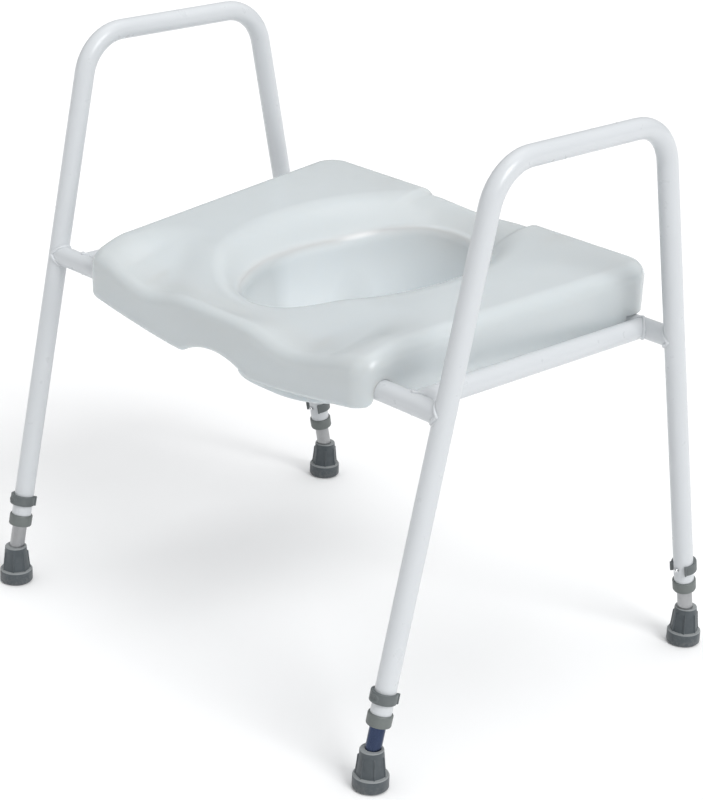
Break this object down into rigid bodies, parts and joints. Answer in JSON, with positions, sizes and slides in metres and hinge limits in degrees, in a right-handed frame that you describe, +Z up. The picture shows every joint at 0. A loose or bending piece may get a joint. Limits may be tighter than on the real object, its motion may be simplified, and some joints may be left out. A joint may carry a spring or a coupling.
{
  "type": "raised toilet seat",
  "caption": "Free-standing raised toilet seat: a dished lift-off seat with a splash guard on a white tubular frame with armrests and height-adjustable rubber-tipped legs.",
  "frame": {"origin": "on the floor under the middle of the frame", "axes": "+Z up, -Y towards the front (the side the sitter's legs are), +X towards the sitter's left"},
  "size_m": [0.7368, 0.5986, 0.7278],
  "materials": {
    "frame_paint": "white epoxy powder coat on steel tube, semi-gloss",
    "seat_plastic": "smooth cool white moulded polypropylene, glossy",
    "bush_plastic": "mid grey moulded plastic, satin",
    "clip_plastic": "dark grey sprung plastic, satin",
    "ferrule_rubber": "slate grey moulded rubber, matt",
    "extension_steel": "zinc-plated steel, lightly drawn along the tube",
    "pin_steel": "bright plated steel"
  },
  "bodies": {
    "frame": {"side_frame_left": "frame_paint", "side_frame_right": "frame_paint", "side_rail_left": "frame_paint", "side_rail_right": "frame_paint", "cross_tube_front": "frame_paint", "cross_tube_rear": "frame_paint", "weld_beads": "frame_paint", "leg_bush_front_left": "bush_plastic", "leg_bush_front_right": "bush_plastic", "leg_bush_rear_left": "bush_plastic", "leg_bush_rear_right": "bush_plastic"},
    "seat": {"seat": "seat_plastic"},
    "leg_front_left": {"extension_tube_front_left": "extension_steel", "guide_plug_front_left": "bush_plastic", "ferrule_washer_front_left": "extension_steel", "ferrule_front_left": "ferrule_rubber"},
    "clip_front_left": {"leg_clip_front_left": "clip_plastic", "clip_pin_front_left": "pin_steel"},
    "leg_front_right": {"extension_tube_front_right": "extension_steel", "guide_plug_front_right": "bush_plastic", "ferrule_washer_front_right": "extension_steel", "ferrule_front_right": "ferrule_rubber"},
    "clip_front_right": {"leg_clip_front_right": "clip_plastic", "clip_pin_front_right": "pin_steel"},
    "leg_rear_left": {"extension_tube_rear_left": "extension_steel", "guide_plug_rear_left": "bush_plastic", "ferrule_washer_rear_left": "extension_steel", "ferrule_rear_left": "ferrule_rubber"},
    "clip_rear_left": {"leg_clip_rear_left": "clip_plastic", "clip_pin_rear_left": "pin_steel"},
    "leg_rear_right": {"extension_tube_rear_right": "extension_steel", "guide_plug_rear_right": "bush_plastic", "ferrule_washer_rear_right": "extension_steel", "ferrule_rear_right": "ferrule_rubber"},
    "clip_rear_right": {"leg_clip_rear_right": "clip_plastic", "clip_pin_rear_right": "pin_steel"}
  },
  "joints": [
    {"name": "seat_lift", "type": "slide", "parent": "frame", "child": "seat", "axis": [0, 0, 1], "range_m": [0, 0.15]},
    {"name": "leg_height_front_left", "type": "slide", "parent": "frame", "child": "leg_front_left", "axis": [-0.0197, -0.2037, -0.9788], "range_m": [0, 0.15]},
    {"name": "clip_pull_front_left", "type": "slide", "parent": "frame", "child": "clip_front_left", "axis": [0.0041, -0.979, 0.2036], "range_m": [0, 0.04], "deforming": ["leg_clip_front_left"]},
    {"name": "leg_height_front_right", "type": "slide", "parent": "frame", "child": "leg_front_right", "axis": [0.0197, -0.2037, -0.9788], "range_m": [0, 0.15]},
    {"name": "clip_pull_front_right", "type": "slide", "parent": "frame", "child": "clip_front_right", "axis": [-0.0041, -0.979, 0.2036], "range_m": [0, 0.04], "deforming": ["leg_clip_front_right"]},
    {"name": "leg_height_rear_left", "type": "slide", "parent": "frame", "child": "leg_rear_left", "axis": [-0.0197, 0.2037, -0.9788], "range_m": [0, 0.15]},
    {"name": "clip_pull_rear_left", "type": "slide", "parent": "frame", "child": "clip_rear_left", "axis": [0.0041, 0.979, 0.2036], "range_m": [0, 0.04], "deforming": ["leg_clip_rear_left"]},
    {"name": "leg_height_rear_right", "type": "slide", "parent": "frame", "child": "leg_rear_right", "axis": [0.0197, 0.2037, -0.9788], "range_m": [0, 0.15]},
    {"name": "clip_pull_rear_right", "type": "slide", "parent": "frame", "child": "clip_rear_right", "axis": [-0.0041, 0.979, 0.2036], "range_m": [0, 0.04], "deforming": ["leg_clip_rear_right"]}
  ]
}
